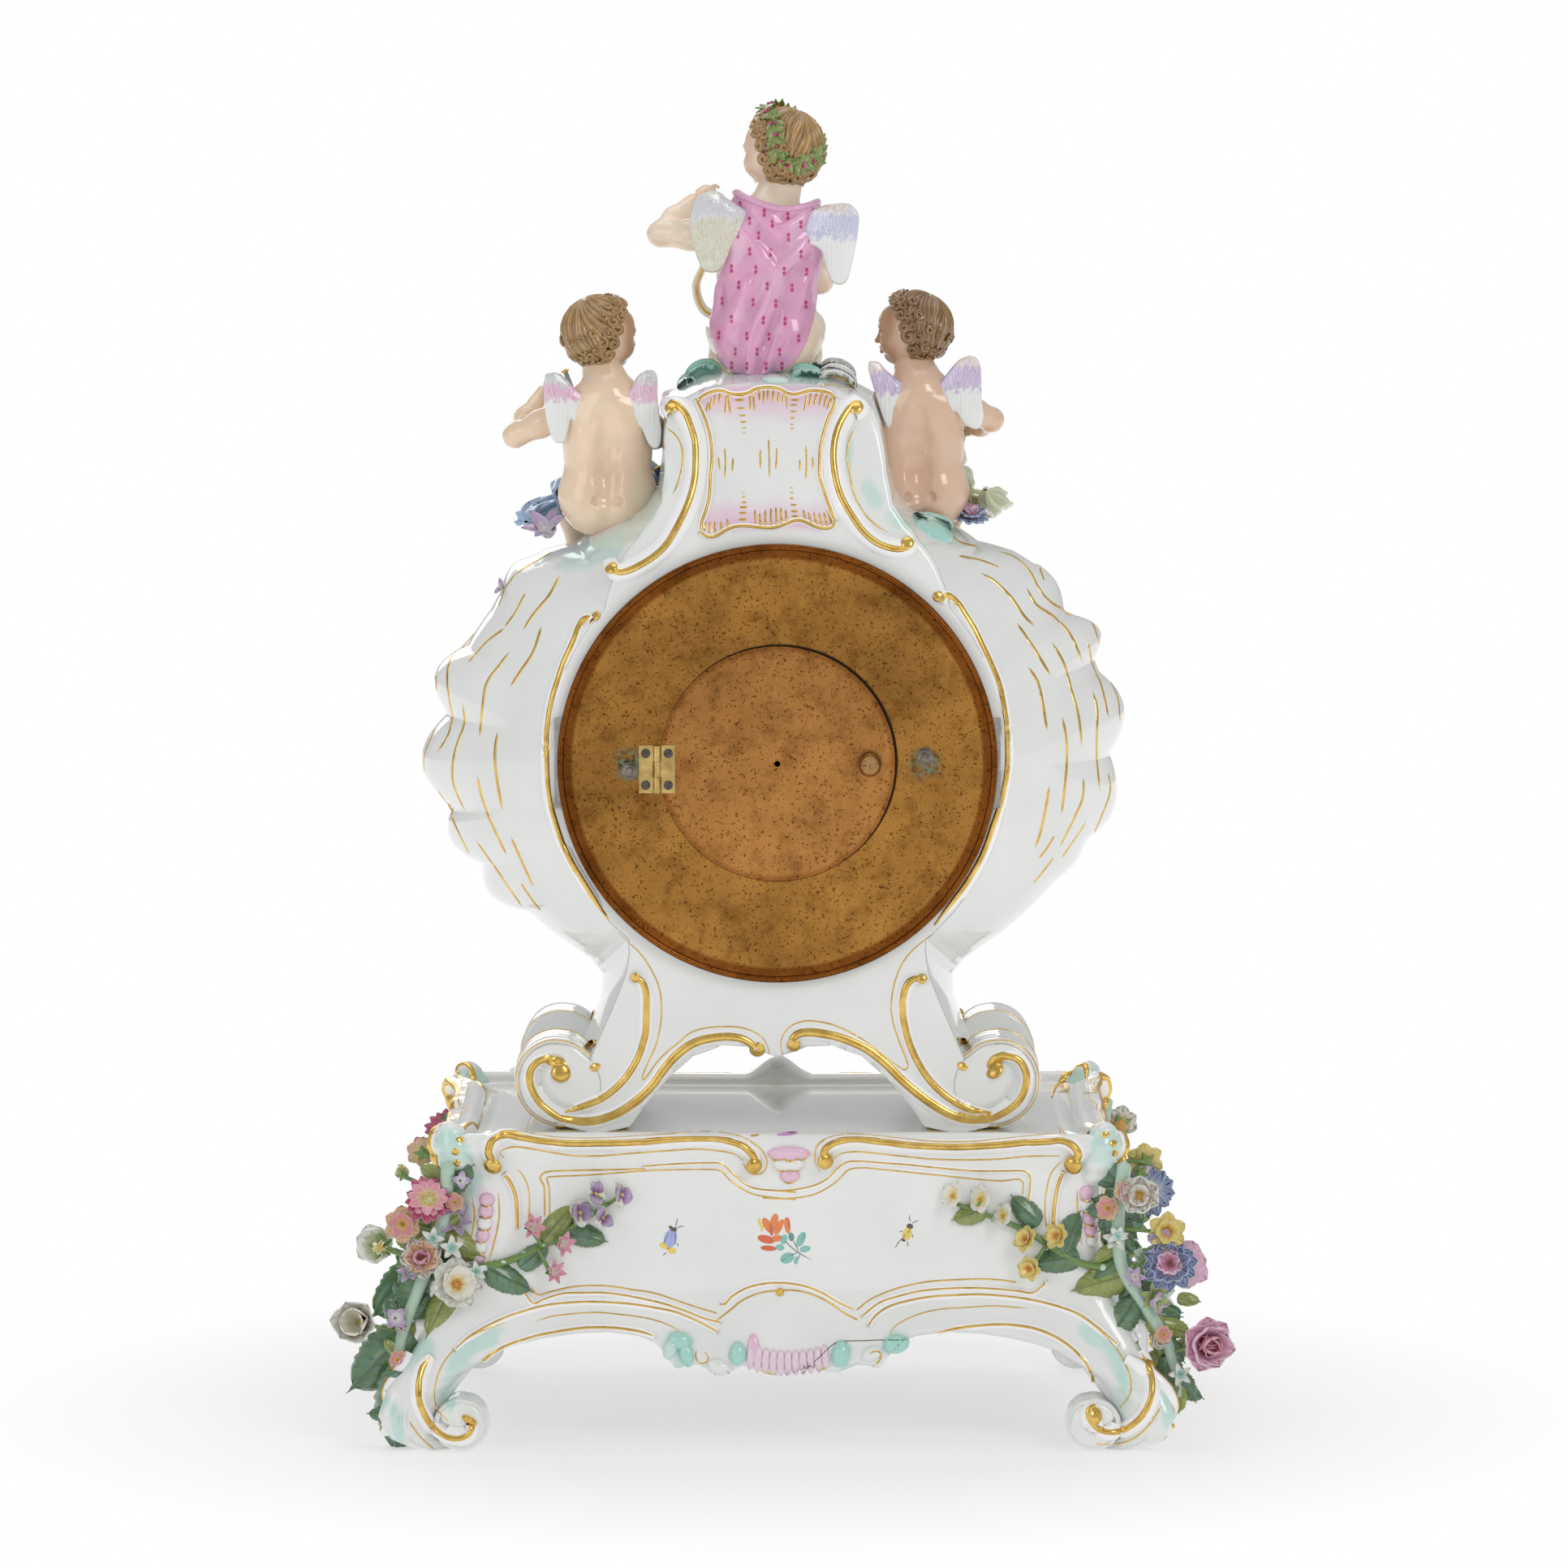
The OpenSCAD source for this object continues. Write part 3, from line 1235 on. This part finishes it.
// Anchor, its arbor and the crutch that reaches down to the pendulum
module pallets() color("steelblue") {
  reach = pallet_z - escape_z;
  rod(0, pallet_z, fplate_y, cock_y + cock_t - end_gap, pivot_r);
  rod(0, pallet_z, gap_y + shoulder_gap, bplate_y - shoulder_gap, arbor_r);
  translate([0, escape_wheel_y, face_z + pallet_z]) rotate([-90, 0, 0]) linear_extrude(wheel_t)
    difference() {
      polygon([
        [-reach * 0.9, reach * 0.5], [-reach * 0.72, 0], [-reach * 0.3, -reach * 0.2],
          [reach * 0.3, -reach * 0.2],
        [reach * 0.72, 0], [reach * 0.9, reach * 0.5], [reach * 0.82, reach * 0.5],
          [reach * 0.5, reach * 0.14],
        [-reach * 0.5, reach * 0.14], [-reach * 0.82, reach * 0.5]
      ]);
      translate([0, reach]) circle(r = escape_r + seat_gap, $fn = round_fn);
    }
  translate([-arbor_r, crutch_y, face_z + pallet_z - crutch_len])
    cube([2 * arbor_r, mplate_t / 2, crutch_len]);
  for (s = [-1, 1])
    rod(s * (rod_r + fork_gap + pivot_r), pallet_z - crutch_len, crutch_y, rod_y + 2 * rod_r, pivot_r);
  translate([-rod_r - fork_gap - 2 * pivot_r, crutch_y, face_z + pallet_z - crutch_len - arbor_r])
    cube([2 * (rod_r + fork_gap + 2 * pivot_r), mplate_t / 2, 2 * arbor_r]);
}

module cannon_pinion() color("gold") {
  pipe(0, 0, minute_hand_y, cannon_y + wheel_t, cannon_r - run_gap, arbor_r + run_gap);
  gear(0, 0, cannon_y, fplate_y - seat_gap - cannon_y, motion_m, cannon_n, motion_angle, 1,
    arbor_r + run_gap);
}

module minute_wheel() color("gold") {
  gear(motion_x, motion_z, minute_wheel_y, wheel_t, motion_m, minute_n, motion_angle + 180, 0,
    arbor_r + run_gap);
  gear(motion_x, motion_z, hour_wheel_y, minute_wheel_y - hour_wheel_y, hour_m, minute_pinion_n,
    motion_angle + 180, 1, arbor_r + run_gap);
}

module hour_wheel() color("gold") {
  gear(0, 0, hour_wheel_y, wheel_t, hour_m, hour_n, motion_angle, 0, cannon_r);
  pipe(0, 0, hour_hand_y, hour_wheel_y + wheel_t / 2, hour_pipe_r - run_gap, cannon_r);
}

// Bridge over the back plate with the pendulum's stud
module suspension_cock() color("goldenrod") {
  leg = stud_r * 2;
  difference() {
    union() {
      for (s = [-1, 1])
        translate([s * 4 * leg - leg / 2, back_y, face_z + pallet_z - leg])
          cube([leg, cock_y - back_y, 2 * leg]);
      translate([-4.5 * leg, cock_y, face_z + pallet_z - leg]) cube([9 * leg, cock_t, 2 * leg]);
    }
    rod(0, pallet_z, cock_y - cut, cock_y + cock_t + cut, pivot_r + run_gap);
  }
  translate([-leg, cock_y + cock_t, face_z + pallet_z - leg]) cube([2 * leg, cock_boss_t, 2 * leg]);
  rod(0, pallet_z, cock_y + cock_t + cock_boss_t, cock_y + cock_t + stud_len, stud_r);
}

module pendulum() color("goldenrod") difference() {
  union() {
    rod(0, pallet_z, rod_y - rod_r, rod_y + rod_r, 3 * stud_r);
    translate([0, rod_y, face_z + pallet_z - pendulum_len]) cylinder(h = pendulum_len, r = rod_r, $fn = 24);
    translate([0, rod_y, face_z + pallet_z - pendulum_len]) rotate([-90, 0, 0]) rotate_extrude($fn = round_fn)
      polygon([[0, -bob_t / 2], [bob_r * 0.6, -bob_t * 0.36], [bob_r, -bob_t * 0.08], [bob_r, bob_t * 0.08],
        [bob_r * 0.6, bob_t * 0.36], [0, bob_t / 2]]);
  }
  rod(0, pallet_z, rod_y - 2 * rod_r, rod_y + 2 * rod_r, stud_r + run_gap);
}

// Bell, open to the front, on a bent standard behind it
module bell() color("silver") translate([0, bell_y, face_z + bell_z]) rotate([-90, 0, 0])
  rotate_extrude($fn = round_fn)
  polygon(concat(
    [for (p = bell_wall_shares) [p[0] * bell_r, p[1] * bell_deep]], [[0, bell_deep], [0, bell_deep - bell_t]],
    [for (i = [len(bell_wall_shares) - 1:-1:0]) let (p = bell_wall_shares[i])
      [p[0] * (bell_r - bell_t), p[1] * (bell_deep - bell_t)]]));

module bell_standard() color("steelblue") {
  y1 = bell_y + bell_deep;
  rod(bell_post_x, bell_post_z, back_y, y1 + bell_post_r, bell_post_r);
  a = atan2(bell_z - bell_post_z, -bell_post_x);
  l = sqrt(pow(bell_z - bell_post_z, 2) + pow(bell_post_x, 2));
  translate([bell_post_x, y1, face_z + bell_post_z]) rotate([0, -a, 0]) translate([0, 0, -bell_post_r])
    cube([l, bell_post_r, 2 * bell_post_r]);
  rod(0, bell_z, y1, y1 + bell_post_r, 2 * bell_post_r);
}

stand();
flowers_rear_left();
flowers_rear_right();
flowers_front_left();
flowers_front_right();
foot_putty();
case_shell();
top_putto();
top_putto_wings();
top_putto_cloak();
top_putto_wreath();
lyre();
left_putto();
left_putto_wings();
left_putto_drape();
horn();
right_putto();
right_putto_wings();
right_putto_drape();
drum();
rear_plate();
clamp_plates();
tie_studs();
tie_washers();
tie_nuts();
rear_door();
door_knob();
plate_hinge_leaf();
door_hinge_leaf();
hinge_pin();
plate_screws();
door_screws();
dial_frame();
dial();
bezel();
bezel_glass();
hour_hand();
minute_hand();
hand_nut();
front_plate();
back_plate();
pillars();
hammer();
time_barrel();
strike_barrel();
time_arbor();
strike_arbor();
time_second_wheel();
strike_second_wheel();
centre_wheel();
third_wheel();
escape_wheel();
pallets();
cannon_pinion();
minute_wheel();
hour_wheel();
suspension_cock();
pendulum();
bell();
bell_standard();
